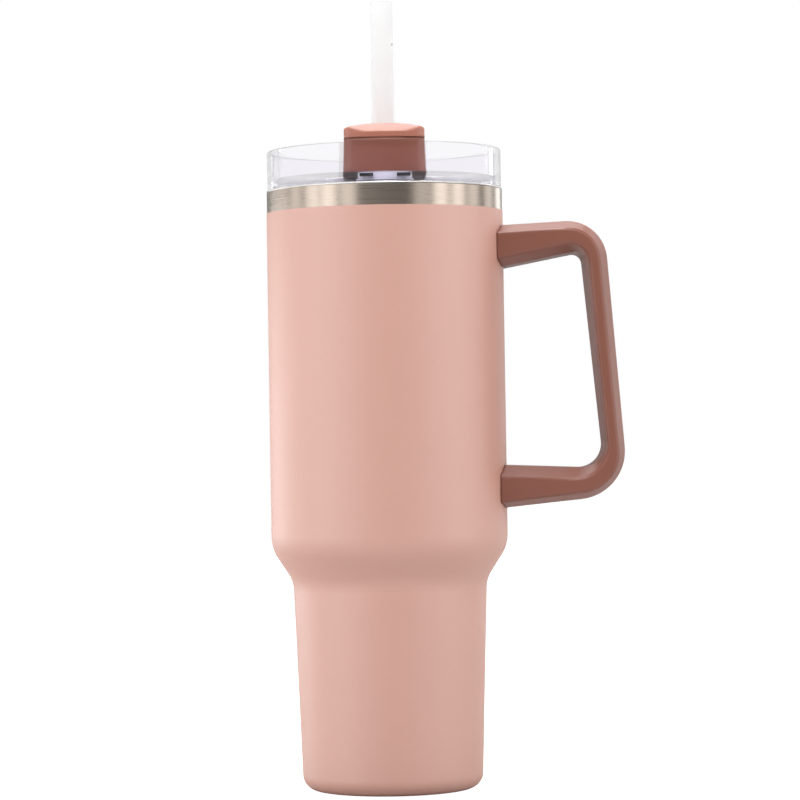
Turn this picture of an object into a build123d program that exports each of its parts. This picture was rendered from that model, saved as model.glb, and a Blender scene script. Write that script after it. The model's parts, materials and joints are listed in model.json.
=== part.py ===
from build123d import *
import os
from math import atan2, degrees, radians, tan

# Insulated tumbler with a clear lid, a turning cover, a straw and a side handle.
# Millimetres. +Z is up, +X points to the handle and -Y to the side one drinks from.
# The origin is on the cup's axis, in the plane it stands on.

# Cup
BARREL_R = 49.0          # painted outside of the upper part
NECK_R = 40.1            # corner under the shoulder
NECK_Z = 86.5
SHOULDER_Z = 100.2       # corner above the shoulder
TAPER = 0.0336           # growth of the lower part's radius per mm of height
NECK_FILLET = 13.0
SHOULDER_FILLET = 15.5
BASE_FILLET = 6.5
PAINT_TOP = 238.6
RIM_TOP = 248.0
WALL = 0.5               # outer steel wall
VACUUM = 3.0
LINER = 0.4              # inner steel wall
LINER_FLOOR = 8.0        # upper face of the liner's floor
LINER_FILLET = 3.4
LIP = 0.8                # height of the rolled lip
BAND_R = BARREL_R - 0.2  # bare steel, without the coating
BORE_R = BARREL_R - WALL - VACUUM - LINER

# Base
PAN_R = 30.0             # where the pan is welded into the outer wall
RING_R = 27.0            # inner edge of the standing ring
RECESS = 2.5             # height of the pan's middle above the ground
CAP_R = 24.8
PORT_R = 0.8
DIMPLE_R = 3.8

# Handle, in the plane through the axis. An outline runs out along the top of the upper
# arm, down the grip, in under the lower arm, and back along the inner side.
HANDLE_HALF = 18.3       # half of its width
ARM_END = 44.0           # the arms are drawn to here and cut back to the wall
HANDLE_FIT = 0.1         # gap between the arms and the wall
FLANK_OUTLINE = [
    (ARM_END, 231.85), (90.05, 234.05), (98.8, 120.65), (ARM_END, 115.3),
    (ARM_END, 133.4), (90.25, 131.4), (81.75, 221.4), (ARM_END, 214.15),
]
FLANK_RADII = [0, 16.5, 20.0, 0, 0, 9.7, 4.0, 0]
SIDE_OUTLINE = [
    (ARM_END, 228.6), (86.6, 230.5), (95.5, 123.4), (ARM_END, 117.8),
    (ARM_END, 129.0), (91.15, 126.4), (82.8, 225.6), (ARM_END, 217.6),
]
SIDE_RADII = [0, 13.0, 16.0, 0, 0, 13.5, 8.5, 0]
BEVEL_DEPTH = 6.5        # from the flat side down to the flank
RIDGE_EDGE = 0.7         # narrow facet along the edges of the flat sides

# Handle fixings
SCREW_X = 60.0
SCREW_R = 1.95
HEAD_R = 3.3
HEAD_H = 1.9
COUNTERBORE_R = 3.6
SEAT = 1.6               # plastic between the screw head and the tab
TAB = 3.0
POCKET_H = 7.0
POCKET_HALF = 9.0
POCKET_END = 68.0
UPPER_SEAT_Z = 220.8     # where the upper screw's head bears
LOWER_SEAT_Z = 129.4

# Lid
LID_R = 48.5
LID_WALL = 2.2
LID_BOTTOM = RIM_TOP + 0.2
LID_TOP = 264.2
DECK_TOP = 252.2
DECK = 2.4
SKIRT_R = 44.0
SKIRT_WALL = 2.2
SKIRT_BOTTOM = 236.0
GROOVE_BOTTOM = 239.5
GROOVE_H = 4.0
GROOVE_R = 42.6
GASKET_R = 44.85
BOSS_R = 11.8
BOSS_BORE_R = 9.6
BOSS_BOTTOM = 245.0
SIP_R = 36.6             # from the axis to the middle of the sip opening
SIP_W = 22.0
SIP_D = 8.4
SIP_SEAL = 1.2
CATCH_X = 7.5            # catches that hold the seal in the deck
CATCH_W = 5.5
CATCH_Y = (-43.3, -39.8)
CATCH_Z = (DECK_TOP - 1.7, DECK_TOP - 0.45)
VENT_R = 1.6
VENT_Y = 34.0
STOP_R = 24.0            # radius of the path of the stop pin
STOP_PIN_R = 1.5
STOP_GROOVE = 1.2

# Turning cover
COVER_GAP = 0.3
COVER_BOTTOM = DECK_TOP + COVER_GAP
COVER_TOP = 266.0
COVER_W = 33.8
COVER_L = 80.0
COVER_BULGE = 2.4        # how far the ends are bowed
COVER_CORNER = 4.6
COVER_DRAFT = 2.2        # degrees
COVER_WALL = 1.8
SEAM = 0.7               # height of the groove under the cap
SEAM_INSET = 1.0
CAP_TOP = 272.5
CROWN_R = 76.0
CAP_FILLET = 1.3
CAP_EDGE = 1.4           # upright part of the cap's ends, below their slope
CAP_SLOPE = 38.0         # degrees that the ends lean in
CAP_WALL = 2.0
THUMB_W = 16.5
THUMB_DEPTH = 0.6
SLEEVE_R = 9.3
SLEEVE_BORE_R = 7.4
SLEEVE_BOTTOM = 241.5
CLIP_R = 11.2
CLIP_Z = 242.6
CLIP_H = 2.0
CLIP_GROOVE_R = 8.6
RING_Z = 247.8           # centre of the O-ring
RING_SECTION = 0.7
RING_GROOVE_R = 8.1

# Straw
STRAW_R = 4.6
STRAW_BORE_R = 3.6
STRAW_BOTTOM = LINER_FLOOR + 0.3
STRAW_TOP = 326.3
STRAW_EDGE = 0.3
SEAL_BORE_R = STRAW_R + 0.1
SEAL_R = 6.3
SEAL_FLANGE_R = 7.6


def face_of(points, radii):
    """Flat face inside a closed outline, with one corner radius for each point."""
    return make_face(FilletPolyline(*points, radius=radii, close=True))


def turned(points, radii=None):
    """Solid of revolution about Z from (radius, height) points."""
    if radii is None:
        face = make_face(Polyline(*points, close=True))
    else:
        face = face_of(points, radii)
    return revolve(Plane.XZ * face, Axis.Z)


def ring(inner, outer, bottom, top, edge=0):
    """Ring about the axis, with rounded edges if edge is given."""
    points = [(inner, bottom), (outer, bottom), (outer, top), (inner, top)]
    return turned(points, [edge] * 4 if edge else None)


def post(radius, bottom, top, x=0.0, y=0.0):
    """Upright round post."""
    solid = Cylinder(radius, top - bottom, align=(Align.CENTER, Align.CENTER, Align.MIN))
    return Pos(x, y, bottom) * solid


def block(x_range, half_width, z_range):
    """Block across the middle plane."""
    size = (x_range[1] - x_range[0], 2 * half_width, z_range[1] - z_range[0])
    centre = ((x_range[0] + x_range[1]) / 2, 0, (z_range[0] + z_range[1]) / 2)
    return Pos(*centre) * Box(*size)


def cup_shape(inset, floor, top, corner):
    """The cup's solid shape, with its side moved in by inset and its floor at a height."""
    slope = atan2(BARREL_R - NECK_R, SHOULDER_Z - NECK_Z)
    rise = inset * tan(slope / 2)
    base_r = NECK_R - (NECK_Z - floor) * TAPER - inset
    points = [
        (0, floor),
        (base_r, floor),
        (NECK_R - inset, NECK_Z + rise),
        (BARREL_R - inset, SHOULDER_Z + rise),
        (BARREL_R - inset, top),
        (0, top),
    ]
    return turned(points, [0, corner, NECK_FILLET + inset, SHOULDER_FILLET - inset, 0, 0])


# ---------------------------------------------------------------- cup

def make_outer_body():
    hollow = cup_shape(WALL, WALL, PAINT_TOP + 1, BASE_FILLET - WALL)
    return cup_shape(0, 0, PAINT_TOP, BASE_FILLET) - hollow - post(PAN_R, -1, 2)


def make_rim_band():
    return ring(BAND_R - WALL, BAND_R, PAINT_TOP, RIM_TOP - LIP)


def make_inner_liner():
    outside = cup_shape(BARREL_R - BORE_R - LINER, LINER_FLOOR - LINER, RIM_TOP - LIP, LINER_FILLET)
    inside = cup_shape(BARREL_R - BORE_R, LINER_FLOOR, RIM_TOP + 1, LINER_FILLET - LINER)
    return outside + ring(BORE_R, BAND_R, RIM_TOP - LIP, RIM_TOP, edge=0.35) - inside


def make_outer_base():
    top = RECESS + WALL
    port_floor = top + WALL
    points = [
        (PAN_R, 0),
        (PAN_R, WALL),
        (RING_R + 0.6, WALL),
        (RING_R - 1.2, top),
        (DIMPLE_R + 1.4, top),
        (DIMPLE_R + 0.7, port_floor + WALL),
        (PORT_R, port_floor + WALL),
        (PORT_R, port_floor),
        (DIMPLE_R, port_floor),
        (DIMPLE_R + 0.7, RECESS),
        (RING_R - 1.8, RECESS),
        (RING_R, 0),
    ]
    return turned(points, [0, 0, 0.5, 1.0, 0, 0, 0, 0, 0, 0, 0.5, 0.9])


def make_base_cap():
    thickness = 0.5
    disc = ring(0, CAP_R, RECESS - thickness, RECESS)
    rim_groove = ring(CAP_R - 3.0, CAP_R - 2.4, RECESS - thickness - 1, RECESS - thickness + 0.2)
    return disc - rim_groove


def make_vacuum_plug():
    port_floor = RECESS + 2 * WALL
    bead = post(DIMPLE_R - 0.2, port_floor - 1.0, port_floor)
    return bead + post(PORT_R, port_floor - 0.5, port_floor + WALL)


def make_getter():
    top = LINER_FLOOR - LINER
    bottom = top - 1.8
    return turned([(0, bottom), (6.0, bottom), (6.0, top), (0, top)], [0, 0.4, 0.2, 0])


def make_foil_wrap():
    inner = BORE_R + LINER + 0.08
    return ring(inner, inner + 0.12, SHOULDER_Z + 8, PAINT_TOP - 4)


# ---------------------------------------------------------------- handle

def handle_blank():
    """The handle's widest outline, pulled out to both sides as far as the flanks go."""
    return extrude(Plane.XZ * face_of(FLANK_OUTLINE, FLANK_RADII), HANDLE_HALF - BEVEL_DEPTH, both=True)


def bevelled_handle():
    """Handle with wide bevels from its flanks to its flat sides, and facets where they meet."""
    flank = HANDLE_HALF - BEVEL_DEPTH
    widest = Plane.XZ * face_of(FLANK_OUTLINE, FLANK_RADII)
    side = Plane.XZ * face_of(SIDE_OUTLINE, SIDE_RADII)
    sections = [
        Pos(0, -HANDLE_HALF, 0) * side, Pos(0, -flank, 0) * widest,
        Pos(0, flank, 0) * widest, Pos(0, HANDLE_HALF, 0) * side,
    ]
    solid = loft(sections, ruled=True)
    ridges = []
    for edge in solid.edges():
        middle = edge @ 0.5
        if abs(abs(middle.Y) - HANDLE_HALF) < 1e-3 and middle.X > ARM_END + 0.1:
            ridges.append(edge)
    return chamfer(ridges, RIDGE_EDGE)


def pocket(bottom):
    """Space inside an arm's end for its tab."""
    return block((ARM_END, POCKET_END), POCKET_HALF, (bottom, bottom + POCKET_H))


def make_handle():
    """Handle with its arms cut to the wall, and a pocket and a screw hole in each."""
    solid = bevelled_handle() - post(BARREL_R + HANDLE_FIT, 100, 240)
    upper_pocket = UPPER_SEAT_Z + SEAT
    lower_pocket = LOWER_SEAT_Z - SEAT - POCKET_H
    solid -= pocket(upper_pocket)
    solid -= pocket(lower_pocket)
    inside = (UPPER_SEAT_Z + LOWER_SEAT_Z) / 2
    for seat_z, pocket_z in ((UPPER_SEAT_Z, upper_pocket), (LOWER_SEAT_Z, lower_pocket + POCKET_H)):
        solid -= post(COUNTERBORE_R, min(seat_z, inside), max(seat_z, inside), SCREW_X)
        shaft = (min(seat_z, pocket_z) - 0.1, max(seat_z, pocket_z) + 0.1)
        solid -= post(SCREW_R + 0.15, *shaft, SCREW_X)
    return solid


def bracket(tab_bottom, foot):
    """Tab with a screw hole, on a foot that follows the wall."""
    tab = block((ARM_END, SCREW_X + 6), 6.0, (tab_bottom, tab_bottom + TAB))
    plate = block((ARM_END, BARREL_R + 1.8), POCKET_HALF - 1, foot)
    hole = post(SCREW_R + 0.05, tab_bottom - 1, tab_bottom + TAB + 1, SCREW_X)
    return tab + plate - hole - post(BARREL_R, 100, 240)


def make_upper_bracket():
    bottom = UPPER_SEAT_Z + SEAT + 0.1
    return bracket(bottom, (bottom + 0.2, bottom + POCKET_H - 0.6))


def make_lower_bracket():
    top = LOWER_SEAT_Z - SEAT - 0.1
    return bracket(top - TAB, (top - POCKET_H + 0.6, top - 0.2))


def screw():
    """Pan head screw with its head below its bearing face, pointing up."""
    head = turned(
        [(0, -HEAD_H), (HEAD_R, -HEAD_H), (HEAD_R, 0), (0, 0)],
        [0, 0.9, 0.2, 0],
    )
    socket = extrude(Plane.XY.offset(-HEAD_H) * RegularPolygon(1.3, 6), 1.1)
    shank = post(SCREW_R, 0, 7.0)
    return head + shank - socket


def make_upper_screw():
    return Pos(SCREW_X, 0, UPPER_SEAT_Z) * screw()


def make_lower_screw():
    return Pos(SCREW_X, 0, LOWER_SEAT_Z) * Rot(180, 0, 0) * screw()


def plug(start, end):
    """Cap over a screw head, flush with the arm."""
    return handle_blank() & post(COUNTERBORE_R - 0.1, start, end, SCREW_X)


def make_upper_plug():
    return plug(UPPER_SEAT_Z - 20, UPPER_SEAT_Z - HEAD_H - 0.1)


def make_lower_plug():
    return plug(LOWER_SEAT_Z + HEAD_H + 0.1, LOWER_SEAT_Z + 20)


# ---------------------------------------------------------------- lid

def sip_slot(grow, bottom, top):
    """Upright curved slot at the sip opening, larger all round by grow."""
    half_angle = degrees((SIP_W - SIP_D) / 2 / SIP_R)
    path = CenterArc((0, 0), SIP_R, -90 - half_angle, 2 * half_angle)
    return extrude(Plane.XY.offset(bottom) * SlotArc(path, SIP_D + 2 * grow), top - bottom)


def stop_groove(radius_change, bottom, top):
    """Half ring below the front of the cover, as wide as the stop pin and a little more."""
    half_width = STOP_PIN_R + radius_change
    half_ring = ring(STOP_R - half_width, STOP_R + half_width, bottom, top)
    half_ring &= Pos(0, -50, bottom) * Box(120, 100, 40)
    for side in (-1, 1):
        half_ring += post(half_width, bottom, top, side * STOP_R)
    return half_ring


def catch(side):
    """Small bar across the front of the seal's frame, on one side of the middle plane."""
    size = (CATCH_W, CATCH_Y[1] - CATCH_Y[0], CATCH_Z[1] - CATCH_Z[0])
    centre = (side * CATCH_X, sum(CATCH_Y) / 2, sum(CATCH_Z) / 2)
    return Pos(*centre) * Box(*size)


def catch_pockets(gap):
    """Spaces for both catches, open at the top of the deck."""
    size = (CATCH_W + 2 * gap, CATCH_Y[1] - CATCH_Y[0] + 2 * gap, DECK_TOP + 1 - CATCH_Z[0] + gap)
    space = Box(*size, align=(Align.CENTER, Align.CENTER, Align.MIN))
    y = sum(CATCH_Y) / 2
    bottom = CATCH_Z[0] - gap
    return Pos(CATCH_X, y, bottom) * space + Pos(-CATCH_X, y, bottom) * space


def make_lid_body():
    inner = LID_R - LID_WALL
    skirt_inner = SKIRT_R - SKIRT_WALL
    deck_bottom = DECK_TOP - DECK
    groove_top = GROOVE_BOTTOM + GROOVE_H
    points = [
        (BOSS_BORE_R, DECK_TOP), (inner, DECK_TOP),
        (inner, LID_TOP), (LID_R, LID_TOP),
        (LID_R, LID_BOTTOM), (inner, LID_BOTTOM),
        (inner, deck_bottom), (SKIRT_R, deck_bottom),
        (SKIRT_R, groove_top), (GROOVE_R, groove_top),
        (GROOVE_R, GROOVE_BOTTOM), (SKIRT_R, GROOVE_BOTTOM),
        (SKIRT_R, SKIRT_BOTTOM), (skirt_inner, SKIRT_BOTTOM),
        (skirt_inner, deck_bottom), (BOSS_R, deck_bottom),
        (BOSS_R, BOSS_BOTTOM), (BOSS_BORE_R, BOSS_BOTTOM),
    ]
    radii = [0.3, 0.5, 0.8, 0.9, 0.4, 0.3, 0.5, 0.4, 0, 0, 0, 0, 0.8, 0.5, 0.4, 1.0, 0.4, 0.4]
    lid = turned(points, radii)
    lid -= sip_slot(0, deck_bottom - 1, DECK_TOP + 1)
    lid -= post(VENT_R, deck_bottom - 1, DECK_TOP + 1, 0, VENT_Y)
    lid -= catch_pockets(0.05)
    return lid - stop_groove(0.3, DECK_TOP - STOP_GROOVE, DECK_TOP + 1)


def make_lid_gasket():
    """Ring in the skirt's groove with two sealing ribs."""
    inner = GROOVE_R + 0.05
    base = inner + 1.0
    bottom = GROOVE_BOTTOM + 0.1
    top = GROOVE_BOTTOM + GROOVE_H - 0.1
    rib = 0.9
    middle = (bottom + top) / 2
    points = [
        (inner, bottom), (GASKET_R, bottom), (GASKET_R, bottom + rib), (base, middle - 0.3),
        (base, middle + 0.3), (GASKET_R, top - rib), (GASKET_R, top), (inner, top),
    ]
    return turned(points, [0, 0.35, 0.3, 0, 0, 0.3, 0.35, 0])


def make_sip_seal():
    """Frame round the sip opening, with a foot under the deck and notches for the catches."""
    deck_bottom = DECK_TOP - DECK
    bottom = deck_bottom - 0.6
    frame = sip_slot(-0.05, bottom, DECK_TOP + 0.2) + sip_slot(0.6, bottom, deck_bottom - 0.05)
    frame -= sip_slot(-SIP_SEAL, bottom - 1, DECK_TOP + 1)
    return frame - catch_pockets(0.05)


def make_left_catch():
    return catch(-1)


def make_right_catch():
    return catch(1)


# ---------------------------------------------------------------- turning cover

def footprint(inset):
    """Plan of the cover: straight sides, bowed ends, rounded corners."""
    half_w = COVER_W / 2 - inset
    half_l = COVER_L / 2 - inset
    shoulder = half_l - COVER_BULGE
    outline = [
        Line((half_w, -shoulder), (half_w, shoulder)),
        ThreePointArc((half_w, shoulder), (0, half_l), (-half_w, shoulder)),
        Line((-half_w, shoulder), (-half_w, -shoulder)),
        ThreePointArc((-half_w, -shoulder), (0, -half_l), (half_w, -shoulder)),
    ]
    face = make_face(outline)
    return fillet(face.vertices(), max(COVER_CORNER - inset, 0.8))


def raised(face, bottom, top, taper=0):
    """Plan face pulled up from one height to another."""
    return extrude(Plane.XY.offset(bottom) * face, top - bottom, taper=taper)


def draft_inset(height):
    """How far the drafted sides have come in at a height."""
    return (height - COVER_BOTTOM) * tan(radians(COVER_DRAFT))


def make_turn_cover():
    """Hollow bar with a floor, the pivot sleeve and the stop pin."""
    floor_top = COVER_BOTTOM + COVER_WALL
    shell = raised(footprint(0), COVER_BOTTOM, COVER_TOP, COVER_DRAFT)
    inside = footprint(COVER_WALL + draft_inset(COVER_TOP))
    shell -= raised(inside, floor_top, COVER_TOP + 1)
    shell += post(SLEEVE_R, SLEEVE_BOTTOM, COVER_TOP - 2.2)
    shell += post(STOP_PIN_R, DECK_TOP - STOP_GROOVE + 0.3, COVER_BOTTOM + 1, 0, -STOP_R)
    shell -= post(SLEEVE_BORE_R, SLEEVE_BOTTOM - 1, COVER_TOP + 1)
    shell -= ring(CLIP_GROOVE_R, SLEEVE_R + 1, CLIP_Z, CLIP_Z + CLIP_H)
    half = RING_SECTION + 0.1
    return shell - ring(RING_GROOVE_R, SLEEVE_R + 0.2, RING_Z - half, RING_Z + half)


def crown(bottom, drop):
    """Space under a crowned surface that runs along Y, lower than the top by drop."""
    radius = CROWN_R - drop
    centre = CAP_TOP - CROWN_R
    barrel = Pos(0, 0, centre) * Rot(90, 0, 0) * Cylinder(radius, 200)
    return barrel & Pos(0, 0, bottom) * Box(200, 200, 100, align=(Align.CENTER, Align.CENTER, Align.MIN))


def sloped_ends(bottom, edge):
    """Space between two end planes that lean in towards the middle."""
    half = COVER_L / 2 - edge
    rise = 12.0
    run = rise * tan(radians(CAP_SLOPE))
    low = bottom + CAP_EDGE
    outline = Polyline(
        (-half, bottom), (half, bottom), (half, low),
        (half - run, low + rise), (run - half, low + rise), (-half, low),
        close=True,
    )
    return extrude(Plane.YZ * make_face(outline), COVER_W, both=True)


def make_cover_cap():
    """Crowned cap with a stepped lip that fits inside the bar's walls."""
    edge = draft_inset(COVER_TOP)
    bottom = COVER_TOP + SEAM
    blank = raised(footprint(edge), bottom, CAP_TOP + 2) & crown(bottom, 0) & sloped_ends(bottom, edge)
    top_edges = [e for e in blank.edges() if e.bounding_box().min.Z > bottom + 0.5]
    blank = fillet(top_edges, CAP_FILLET)
    blank -= Pos(0, edge - COVER_L / 2, 0) * Box(THUMB_W, 2 * THUMB_DEPTH, 2 * CAP_TOP + 10)
    lip = raised(footprint(edge + SEAM_INSET), COVER_TOP + 0.05, bottom + 1)
    tongue = raised(footprint(edge + COVER_WALL + 0.15), COVER_TOP - 2.0, bottom + 1)
    hollow = raised(footprint(edge + COVER_WALL + 1.2), COVER_TOP - 3, CAP_TOP)
    hollow &= crown(COVER_TOP - 3, CAP_WALL)
    cap = blank + lip + tongue - hollow
    cap -= post(SEAL_R + 0.05, COVER_TOP, CAP_TOP + 5)
    return cap - post(SEAL_FLANGE_R + 0.05, CAP_TOP - 1.2, CAP_TOP + 5)


def make_straw_seal():
    """Grommet held in the cap by a flange above and a barb below."""
    under = CAP_TOP - CAP_WALL - 0.5
    over = CAP_TOP - 1.15
    points = [
        (SEAL_BORE_R, under - 1.4), (SEAL_R, under - 1.4), (SEAL_FLANGE_R, under - 0.6),
        (SEAL_FLANGE_R, under - 0.05), (SEAL_R, under - 0.05), (SEAL_R, over),
        (SEAL_FLANGE_R, over), (SEAL_FLANGE_R, CAP_TOP - 0.3), (SEAL_BORE_R, CAP_TOP - 0.3),
    ]
    return turned(points, [0.3, 0, 0, 0, 0, 0, 0, 0.3, 0.4])


def make_pivot_o_ring():
    ring_r = BOSS_BORE_R - 0.05 - RING_SECTION
    return Pos(0, 0, RING_Z) * Torus(ring_r, RING_SECTION)


def make_pivot_clip():
    body = ring(CLIP_GROOVE_R + 0.05, CLIP_R, CLIP_Z + 0.1, CLIP_Z + CLIP_H - 0.1, edge=0.25)
    gap = Pos(0, CLIP_R, CLIP_Z) * Box(5.0, CLIP_R, 10)
    return body - gap


def make_straw():
    return ring(STRAW_BORE_R, STRAW_R, STRAW_BOTTOM, STRAW_TOP, edge=STRAW_EDGE)


PARTS = {
    "outer_body": make_outer_body,
    "rim_band": make_rim_band,
    "inner_liner": make_inner_liner,
    "outer_base": make_outer_base,
    "base_cap": make_base_cap,
    "vacuum_plug": make_vacuum_plug,
    "getter": make_getter,
    "foil_wrap": make_foil_wrap,
    "handle": make_handle,
    "upper_bracket": make_upper_bracket,
    "lower_bracket": make_lower_bracket,
    "upper_screw": make_upper_screw,
    "lower_screw": make_lower_screw,
    "upper_plug": make_upper_plug,
    "lower_plug": make_lower_plug,
    "lid_body": make_lid_body,
    "lid_gasket": make_lid_gasket,
    "sip_seal": make_sip_seal,
    "left_catch": make_left_catch,
    "right_catch": make_right_catch,
    "turn_cover": make_turn_cover,
    "cover_cap": make_cover_cap,
    "straw_seal": make_straw_seal,
    "pivot_o_ring": make_pivot_o_ring,
    "pivot_clip": make_pivot_clip,
    "straw": make_straw,
}

if __name__ == "__main__":
    os.makedirs("parts", exist_ok=True)
    for name, make in PARTS.items():
        export_step(make(), f"parts/{name}.step")
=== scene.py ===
import json
from math import cos, radians, sin

import bmesh
import bpy
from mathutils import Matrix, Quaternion, Vector

# Camera, in metres and degrees
CAMERA_LENS = 143.9      # mm, on a 36 mm sensor
CAMERA_DISTANCE = 1.327
CAMERA_HEIGHT = 0.144
CAMERA_AIM = 0.1608      # height of the point in the middle of the picture
CAMERA_SIDE = 0.0052
CAMERA_ROLL = 0.90
CAMERA_TURN = -0.8       # round the cup's axis

# Studio. An azimuth is from the camera's side, positive to the right, and powers are in watts.
WORLD_BACKDROP = 1.0
WORLD_BASE = 0.1
WORLD_BACK = 0.25
LIGHT_AIM = 0.15                 # height on the cup's axis that every light points at
STRIP = (0.45, 1.1, 0.3, 0.9)    # height, distance, width and tallness of a strip light
STRIP_POWERS = {                 # azimuth: power
    -95: 1.45, -75: 2.0, -55: 1.85, -35: 1.8, -15: 0.15,
    35: 1.1, 55: 2.6, 75: 2.45, 95: 1.55, 120: 1.3, 145: 2.0,
}
SOFTBOXES = {                    # azimuth, height, distance, width, tallness, power
    "low_left": (-60.0, 0.12, 1.1, 0.5, 0.24, 1.2),
    "low_back_left": (-125.0, 0.1, 1.1, 0.8, 0.3, 4.2),
    "high_front": (0.0, 1.05, 0.8, 0.5, 0.4, 6.0),
    "overhead": (0.0, 1.3, 0.02, 0.5, 0.3, 12.0),
    "overhead_back": (180.0, 1.2, 0.7, 1.2, 0.6, 6.0),
    "below": (0.0, -0.6, 0.3, 0.5, 0.5, 4.0),
}
FLOOR_RADIUS = 6.0
FLOOR_OPENING = 0.03             # radius, in the shade of the foot
FLOOR_GAP = 0.0002               # below the foot, so that the two don't share a plane
FLOOR_GREYS = (0.5, 0.54)        # darkest and lightest of its mottle
FLOOR_GLOW = 1.0                 # only for the camera, so that the floor stays white

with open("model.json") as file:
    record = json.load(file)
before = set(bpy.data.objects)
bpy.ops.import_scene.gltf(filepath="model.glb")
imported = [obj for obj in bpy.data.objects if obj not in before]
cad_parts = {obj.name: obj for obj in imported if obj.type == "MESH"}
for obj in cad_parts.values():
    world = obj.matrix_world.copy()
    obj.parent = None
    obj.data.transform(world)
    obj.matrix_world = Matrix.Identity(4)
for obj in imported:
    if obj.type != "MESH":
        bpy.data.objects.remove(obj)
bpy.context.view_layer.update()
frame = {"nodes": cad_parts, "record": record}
nodes = frame["nodes"]
scene = bpy.context.scene


# ---------------------------------------------------------------- materials

class Finish:
    """A principled material with a few helpers for its procedural detail."""

    def __init__(self, name, color, roughness, **constants):
        self.material = bpy.data.materials.new(name)
        self.material.use_nodes = True
        self.tree = self.material.node_tree
        self.shader = self.tree.nodes["Principled BSDF"]
        self.set("Base Color", (*color, 1.0))
        self.set("Roughness", roughness)
        for key, value in constants.items():
            self.set(key.replace("_", " "), value)
        self.place = self.add("ShaderNodeTexCoord").outputs["Object"]

    def add(self, kind, **values):
        node = self.tree.nodes.new(kind)
        for key, value in values.items():
            setattr(node, key, value)
        return node

    def link(self, source, target):
        self.tree.links.new(source, target)

    def set(self, socket, value):
        self.shader.inputs[socket].default_value = value

    def noise(self, size, detail=3.0, stretch=(1.0, 1.0, 1.0), roughness=0.5):
        """Noise with features of about a size in metres, longer along an axis by its stretch."""
        mapping = self.add("ShaderNodeMapping")
        mapping.inputs["Scale"].default_value = [1.0 / (size * s) for s in stretch]
        self.link(self.place, mapping.inputs["Vector"])
        noise = self.add("ShaderNodeTexNoise")
        noise.inputs["Scale"].default_value = 1.0
        noise.inputs["Detail"].default_value = detail
        noise.inputs["Roughness"].default_value = roughness
        self.link(mapping.outputs["Vector"], noise.inputs["Vector"])
        return noise.outputs["Fac"]

    def range(self, factor, low, high, start=0.3, end=0.7):
        """A factor between two limits, mapped to two values."""
        node = self.add("ShaderNodeMapRange")
        for key, value in zip(("From Min", "From Max", "To Min", "To Max"), (start, end, low, high)):
            node.inputs[key].default_value = value
        self.link(factor, node.inputs["Value"])
        return node.outputs["Result"]

    def mix(self, factor, first, second):
        """Two colours, mixed by a factor. Each is a colour or an output."""
        node = self.add("ShaderNodeMix", data_type="RGBA")
        self.link(factor, node.inputs["Factor"])
        for name, color in (("A", first), ("B", second)):
            socket = next(s for s in node.inputs if s.name == name and s.type == "RGBA")
            if isinstance(color, bpy.types.NodeSocket):
                self.link(color, socket)
            else:
                socket.default_value = (*color, 1.0)
        return next(s for s in node.outputs if s.type == "RGBA")

    def color(self, output):
        self.link(output, self.shader.inputs["Base Color"])

    def roughness(self, output):
        self.link(output, self.shader.inputs["Roughness"])

    def brush_round(self):
        """Reflections drawn out across streaks that run round the axis."""
        tangent = self.add("ShaderNodeTangent", direction_type="RADIAL", axis="Z")
        self.link(tangent.outputs["Tangent"], self.shader.inputs["Tangent"])

    def bump(self, *layers, edge=0.0):
        """Bump from (height output, depth in metres) layers, over edges rounded to a radius."""
        below = None
        if edge:
            bevel = self.add("ShaderNodeBevel", samples=8)
            bevel.inputs["Radius"].default_value = edge
            below = bevel.outputs["Normal"]
        for height, depth in layers:
            node = self.add("ShaderNodeBump")
            node.inputs["Distance"].default_value = depth
            node.inputs["Strength"].default_value = 1.0
            self.link(height, node.inputs["Height"])
            if below is not None:
                self.link(below, node.inputs["Normal"])
            below = node.outputs["Normal"]
        self.link(below, self.shader.inputs["Normal"])


def srgb(red, green, blue):
    """Linear colour from 0 to 255 screen values."""
    values = [c / 255 for c in (red, green, blue)]
    return tuple(c / 12.92 if c < 0.04045 else ((c + 0.055) / 1.055) ** 2.4 for c in values)


def shade(color, factor):
    """A colour made darker or lighter."""
    return tuple(c * factor for c in color)


def powder_coat():
    """Satin coating with a fine grain."""
    color = srgb(189, 136, 119)
    finish = Finish("powder_coat", color, 0.55, Specular_IOR_Level=1.0, IOR=1.75)
    patches = finish.noise(0.03, detail=2.0)
    finish.color(finish.mix(patches, shade(color, 0.98), shade(color, 1.02)))
    grain = finish.noise(0.0006, detail=2.0)
    finish.roughness(finish.range(grain, 0.52, 0.6))
    finish.bump((grain, 0.000010), (finish.noise(0.003), 0.000008))
    return finish.material


def brushed_steel(name, color, roughness, around=True):
    """Steel brushed round the axis, or along it."""
    stretch = (90.0, 90.0, 1.0) if around else (1.0, 1.0, 90.0)
    finish = Finish(name, color, roughness, Metallic=1.0)
    if around:
        finish.set("Anisotropic", 0.6)
        finish.set("Anisotropic Rotation", 0.25)
        finish.brush_round()
    streaks = finish.noise(0.0005, detail=4.0, stretch=stretch, roughness=0.65)
    finish.color(finish.mix(streaks, shade(color, 0.9), shade(color, 1.06)))
    finish.roughness(finish.range(streaks, roughness * 0.9, roughness * 1.15))
    finish.bump((streaks, 0.000004))
    return finish.material


def moulded(name, color, roughness, grain_size=0.0004, depth=0.000008, edge=0.0, ior=1.5):
    """Moulded plastic or rubber with a fine spark texture, and softened edges if edge is given."""
    finish = Finish(name, color, roughness, IOR=ior)
    grain = finish.noise(grain_size, detail=2.0)
    clouds = finish.noise(0.02, detail=2.0)
    finish.color(finish.mix(clouds, shade(color, 0.97), shade(color, 1.03)))
    finish.roughness(finish.range(grain, roughness * 0.92, roughness * 1.1))
    finish.bump((grain, depth), edge=edge)
    return finish.material


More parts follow.
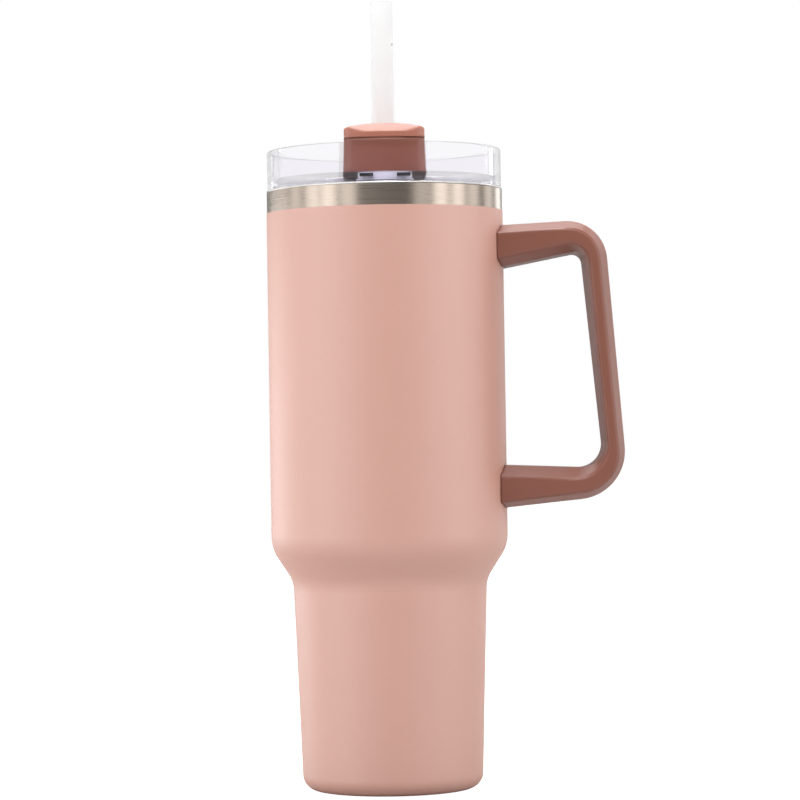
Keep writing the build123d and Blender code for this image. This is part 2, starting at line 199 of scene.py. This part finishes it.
def clear(name, color, roughness, transmission, ior, alpha=1.0):
    """See-through plastic or silicone with slightly uneven polish."""
    finish = Finish(name, color, roughness, Transmission_Weight=transmission, IOR=ior, Alpha=alpha)
    flow = finish.noise(0.012, detail=1.0)
    finish.roughness(finish.range(flow, roughness * 0.9, roughness * 1.15))
    return finish.material


FINISHES = {
    "powder_coat": powder_coat(),
    "brushed_steel": brushed_steel("brushed_steel", srgb(165, 153, 142), 0.28),
    "liner_steel": brushed_steel("liner_steel", srgb(216, 214, 211), 0.42),
    "glass_solder": moulded("glass_solder", srgb(58, 62, 66), 0.15),
    "getter_metal": moulded("getter_metal", srgb(92, 92, 96), 0.7),
    "foil": brushed_steel("foil", srgb(220, 220, 222), 0.2),
    "handle_plastic": moulded("handle_plastic", srgb(128, 81, 68), 0.34, edge=0.0012, ior=1.4),
    "bracket_steel": brushed_steel("bracket_steel", srgb(180, 178, 174), 0.4, around=False),
    "screw_steel": brushed_steel("screw_steel", srgb(205, 205, 207), 0.25),
    "clear_plastic": clear("clear_plastic", srgb(236, 233, 242), 0.05, 1.0, 1.07, alpha=0.36),
    "clear_silicone": clear("clear_silicone", srgb(238, 236, 246), 0.4, 0.4, 1.2),
    # The sip seal is a real part, made near black so that it stands in for the dark openings under the
    # cover: painted shade.
    "dark_silicone": moulded("dark_silicone", srgb(30, 30, 34), 0.4),
    # The cover plastic is the handle's plastic made darker as painted shade on the block's vertical front,
    # and the shaded copy of the cap's lighter finish.
    "cover_plastic": moulded("cover_plastic", srgb(119, 68, 55), 0.38, edge=0.0008),
    # The cap's finish is the cover plastic made lighter as painted light on its up-facing top.
    "cap_painted_light": moulded("cap_painted_light", srgb(160, 100, 82), 0.38, edge=0.0008),
    "cover_silicone": moulded("cover_silicone", srgb(138, 84, 68), 0.5),
    "clip_plastic": moulded("clip_plastic", srgb(218, 218, 214), 0.4),
    "straw_plastic": clear("straw_plastic", srgb(240, 240, 240), 0.3, 0.35, 1.12, alpha=0.8),
}

for part in frame["record"]["subparts"]:
    mesh = nodes[part["node"]].data
    mesh.materials.clear()
    # The cover's cap gets the lighter, lit copy of the cover plastic: painted light.
    slot = "cap_painted_light" if part["node"] == "cover_cap" else part["material_slot"]
    mesh.materials.append(FINISHES[slot])


# ---------------------------------------------------------------- stage and light

def add_object(name, data):
    thing = bpy.data.objects.new(name, data)
    scene.collection.objects.link(thing)
    return thing


def make_floor():
    """Pale floor that is only seen from above, open under the foot so that light reaches the underside."""
    mesh = bpy.data.meshes.new("floor")
    work = bmesh.new()
    for radius in (FLOOR_RADIUS, FLOOR_OPENING):
        bmesh.ops.create_circle(work, radius=radius, segments=96)
    bmesh.ops.bridge_loops(work, edges=work.edges[:])
    bmesh.ops.reverse_faces(work, faces=work.faces[:])    # bridged facing down
    work.to_mesh(mesh)
    work.free()
    floor = add_object("floor", mesh)
    floor.location.z = -FLOOR_GAP
    dark, light = [(grey, grey, grey) for grey in FLOOR_GREYS]
    finish = Finish("floor", light, 0.9)
    finish.set("Emission Color", (1.0, 1.0, 1.0, 1.0))
    seen = finish.add("ShaderNodeLightPath").outputs["Is Camera Ray"]
    finish.link(finish.range(seen, 0.0, FLOOR_GLOW, 0.0, 1.0), finish.shader.inputs["Emission Strength"])
    finish.color(finish.mix(finish.noise(0.4), dark, light))
    clear_below = finish.add("ShaderNodeBsdfTransparent")
    sides = finish.add("ShaderNodeMixShader")
    finish.link(finish.add("ShaderNodeNewGeometry").outputs["Backfacing"], sides.inputs["Fac"])
    finish.link(finish.shader.outputs["BSDF"], sides.inputs[1])
    finish.link(clear_below.outputs["BSDF"], sides.inputs[2])
    output = finish.tree.nodes["Material Output"]
    finish.link(sides.outputs["Shader"], output.inputs["Surface"])
    mesh.materials.append(finish.material)


def make_world():
    """White for the camera and through clear plastic, and a softer light, mostly from behind, otherwise."""
    world = bpy.data.worlds.new("studio")
    scene.world = world
    world.use_nodes = True
    tree = world.node_tree
    background = tree.nodes["Background"]
    place = tree.nodes.new("ShaderNodeTexCoord")
    split = tree.nodes.new("ShaderNodeSeparateXYZ")
    tree.links.new(place.outputs["Generated"], split.inputs["Vector"])

    def lobe(axis, start, end, strength):
        node = tree.nodes.new("ShaderNodeMapRange")
        node.interpolation_type = "SMOOTHSTEP"
        for key, value in zip(("From Min", "From Max", "To Min", "To Max"), (start, end, 0.0, strength)):
            node.inputs[key].default_value = value
        tree.links.new(split.outputs[axis], node.inputs["Value"])
        return node.outputs["Result"]

    def total(first, second):
        node = tree.nodes.new("ShaderNodeMath")
        for socket, value in zip(node.inputs, (first, second)):
            if isinstance(value, bpy.types.NodeSocket):
                tree.links.new(value, socket)
            else:
                socket.default_value = value
        return node.outputs["Value"]

    lit = total(WORLD_BASE, lobe("Y", -0.2, 0.8, WORLD_BACK))
    rays = tree.nodes.new("ShaderNodeLightPath")
    seen = total(rays.outputs["Is Camera Ray"], rays.outputs["Is Transmission Ray"])
    mix = tree.nodes.new("ShaderNodeMix")
    tree.links.new(seen, mix.inputs["Factor"])
    tree.links.new(lit, mix.inputs["A"])
    mix.inputs["B"].default_value = WORLD_BACKDROP
    tree.links.new(mix.outputs["Result"], background.inputs["Strength"])
    background.inputs["Color"].default_value = (1.0, 1.0, 1.0, 1.0)


def make_softbox(name, azimuth, height, distance, width, tall, power):
    """Rectangular area light beside, above or below the object, aimed at its axis."""
    light = bpy.data.lights.new(name, "AREA")
    light.shape = "RECTANGLE"
    light.size = width
    light.size_y = tall
    light.energy = power
    lamp = add_object(name, light)
    angle = radians(azimuth)
    lamp.location = (distance * sin(angle), -distance * cos(angle), height)
    aim = Vector((0.0, 0.0, LIGHT_AIM)) - lamp.location
    lamp.rotation_mode = "QUATERNION"
    lamp.rotation_quaternion = aim.to_track_quat("-Z", "Y")


def make_camera():
    """Long lens in front of the object, level with the middle of the cup."""
    data = bpy.data.cameras.new("camera")
    data.sensor_width = 36.0
    data.lens = CAMERA_LENS
    data.clip_start = 0.05
    data.clip_end = 50.0
    camera = add_object("camera", data)
    place = Vector((CAMERA_SIDE, -CAMERA_DISTANCE, CAMERA_HEIGHT))
    aim = Vector((CAMERA_SIDE, 0.0, CAMERA_AIM)) - place
    turn = Quaternion((0.0, 0.0, 1.0), radians(CAMERA_TURN))
    roll = Quaternion((0.0, 0.0, 1.0), radians(-CAMERA_ROLL))
    camera.location = turn @ place
    camera.rotation_mode = "QUATERNION"
    camera.rotation_quaternion = turn @ aim.to_track_quat("-Z", "Y") @ roll
    scene.camera = camera


make_camera()
make_floor()
make_world()
for azimuth, power in STRIP_POWERS.items():
    make_softbox(f"strip_{azimuth}", azimuth, *STRIP, power)
for name, values in SOFTBOXES.items():
    make_softbox(name, *values)
scene.view_settings.view_transform = "Standard"
